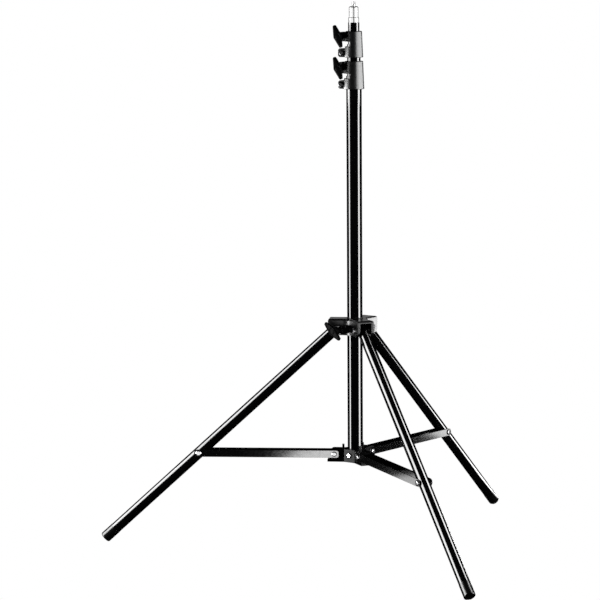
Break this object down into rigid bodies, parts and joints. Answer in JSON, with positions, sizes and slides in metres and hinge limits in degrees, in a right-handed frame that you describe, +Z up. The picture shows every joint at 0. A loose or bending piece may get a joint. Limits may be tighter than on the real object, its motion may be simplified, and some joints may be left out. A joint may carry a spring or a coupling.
{
  "type": "telescoping tripod light stand",
  "caption": "Folding tripod stand with telescoping column, wing knob clamp collars, sliding leg yoke, tube legs with channel braces and a stud for a lamp head.",
  "frame": {"origin": "on the floor, at the middle of the box round the three feet; the column's axis is 0.1076 m along +X from it", "axes": "+Z up along the column; one leg points along -X, the others at 60 and 300 degrees"},
  "size_m": [0.6685, 0.7688, 0.928],
  "materials": {
    "tube_black": "gloss black powder coat",
    "moulding_black": "satin black nylon moulding",
    "knob_black": "satin black knob",
    "sheet_black": "semi gloss black painted sheet",
    "rubber_black": "matt black rubber",
    "zinc_bright": "bright zinc plate",
    "stud_bright": "bright nickel plate",
    "liner_dark": "self lubricating nylon",
    "insert_brass": "turned brass"
  },
  "bodies": {
    "column": {"outer_tube": "tube_black", "outer_tube_end_plug": "moulding_black", "brace_bracket": "moulding_black", "bracket_rivets": "zinc_bright", "brace_pivot_pins": "zinc_bright", "lower_collar_body": "moulding_black", "lower_collar_liner": "liner_dark", "lower_collar_clamp_nut": "zinc_bright", "lower_collar_fixing_screw": "zinc_bright", "lower_collar_fixing_nut": "zinc_bright"},
    "lower_wing_knob": {"lower_collar_knob": "knob_black", "lower_collar_knob_bolt": "zinc_bright"},
    "middle_section": {"middle_tube": "tube_black", "middle_tube_guide_bush": "liner_dark", "upper_collar_body": "moulding_black", "upper_collar_liner": "liner_dark", "upper_collar_clamp_nut": "zinc_bright", "upper_collar_fixing_screw": "zinc_bright", "upper_collar_fixing_nut": "zinc_bright"},
    "upper_wing_knob": {"upper_collar_knob": "knob_black", "upper_collar_knob_bolt": "zinc_bright"},
    "inner_section": {"inner_tube": "tube_black", "inner_tube_guide_bush": "liner_dark", "spigot_stud": "stud_bright"},
    "yoke": {"leg_yoke": "moulding_black", "yoke_liner": "liner_dark", "yoke_pressure_pad": "liner_dark", "yoke_thread_insert": "insert_brass", "leg_pivot_bolts": "zinc_bright", "leg_pivot_nuts": "zinc_bright"},
    "yoke_wing_knob": {"yoke_knob": "knob_black", "yoke_knob_bolt": "zinc_bright"},
    "left_leg": {"leg_tube_left": "tube_black", "leg_top_plug_left": "moulding_black", "leg_cross_bush_left": "zinc_bright", "leg_foot_cap_left": "rubber_black"},
    "left_brace": {"brace_channel_left": "sheet_black", "brace_outer_rivets_left": "zinc_bright"},
    "front_leg": {"leg_tube_front": "tube_black", "leg_top_plug_front": "moulding_black", "leg_cross_bush_front": "zinc_bright", "leg_foot_cap_front": "rubber_black"},
    "front_brace": {"brace_channel_front": "sheet_black", "brace_outer_rivets_front": "zinc_bright"},
    "rear_leg": {"leg_tube_rear": "tube_black", "leg_top_plug_rear": "moulding_black", "leg_cross_bush_rear": "zinc_bright", "leg_foot_cap_rear": "rubber_black"},
    "rear_brace": {"brace_channel_rear": "sheet_black", "brace_outer_rivets_rear": "zinc_bright"}
  },
  "joints": [
    {"name": "middle_section_slide", "type": "slide", "parent": "column", "child": "middle_section", "axis": [0, 0, 1], "range_m": [0, 0.53]},
    {"name": "inner_section_slide", "type": "slide", "parent": "middle_section", "child": "inner_section", "axis": [0, 0, 1], "range_m": [0, 0.53]},
    {"name": "yoke_slide", "type": "slide", "parent": "column", "child": "yoke", "axis": [0, 0, 1], "range_m": [0, 0.34015]},
    {"name": "lower_wing_knob_turn", "type": "hinge", "parent": "column", "child": "lower_wing_knob", "pos_m": [0.08877, 0.00612, 0.8175], "axis": [-0.309, -0.9511, 0], "range_deg": [0, 450]},
    {"name": "upper_wing_knob_turn", "type": "hinge", "parent": "middle_section", "child": "upper_wing_knob", "pos_m": [0.08877, 0.00612, 0.8705], "axis": [-0.309, -0.9511, 0], "range_deg": [0, 450]},
    {"name": "yoke_wing_knob_turn", "type": "hinge", "parent": "yoke", "child": "yoke_wing_knob", "pos_m": [0.0745, -0.04392, 0.377], "axis": [-0.6018, -0.7986, 0], "range_deg": [0, 450]},
    {"name": "left_leg_fold", "type": "hinge", "parent": "yoke", "child": "left_leg", "pos_m": [0.0766, 0, 0.377], "axis": [0, -1, 0], "range_deg": [0, 44.51]},
    {"name": "left_brace_swing", "type": "hinge", "parent": "column", "child": "left_brace", "pos_m": [0.0726, 0, 0.1608], "axis": [0, 1, 0], "range_deg": [0, 87.34]},
    {"name": "front_leg_fold", "type": "hinge", "parent": "yoke", "child": "front_leg", "pos_m": [0.1231, -0.02685, 0.377], "axis": [0.866, 0.5, 0], "range_deg": [0, 44.51]},
    {"name": "front_brace_swing", "type": "hinge", "parent": "column", "child": "front_brace", "pos_m": [0.1251, -0.03031, 0.1608], "axis": [-0.866, -0.5, 0], "range_deg": [0, 87.34]},
    {"name": "rear_leg_fold", "type": "hinge", "parent": "yoke", "child": "rear_leg", "pos_m": [0.1231, 0.02685, 0.377], "axis": [-0.866, 0.5, 0], "range_deg": [0, 44.51]},
    {"name": "rear_brace_swing", "type": "hinge", "parent": "column", "child": "rear_brace", "pos_m": [0.1251, 0.03031, 0.1608], "axis": [0.866, -0.5, 0], "range_deg": [0, 87.34]}
  ],
  "couplings": [
    {"joint": "left_leg_fold", "follows": "yoke_slide", "rad_per_m": 2.2833},
    {"joint": "left_brace_swing", "follows": "yoke_slide", "rad_per_m": 4.4811},
    {"joint": "front_leg_fold", "follows": "yoke_slide", "rad_per_m": 2.2833},
    {"joint": "front_brace_swing", "follows": "yoke_slide", "rad_per_m": 4.4811},
    {"joint": "rear_leg_fold", "follows": "yoke_slide", "rad_per_m": 2.2833},
    {"joint": "rear_brace_swing", "follows": "yoke_slide", "rad_per_m": 4.4811}
  ]
}
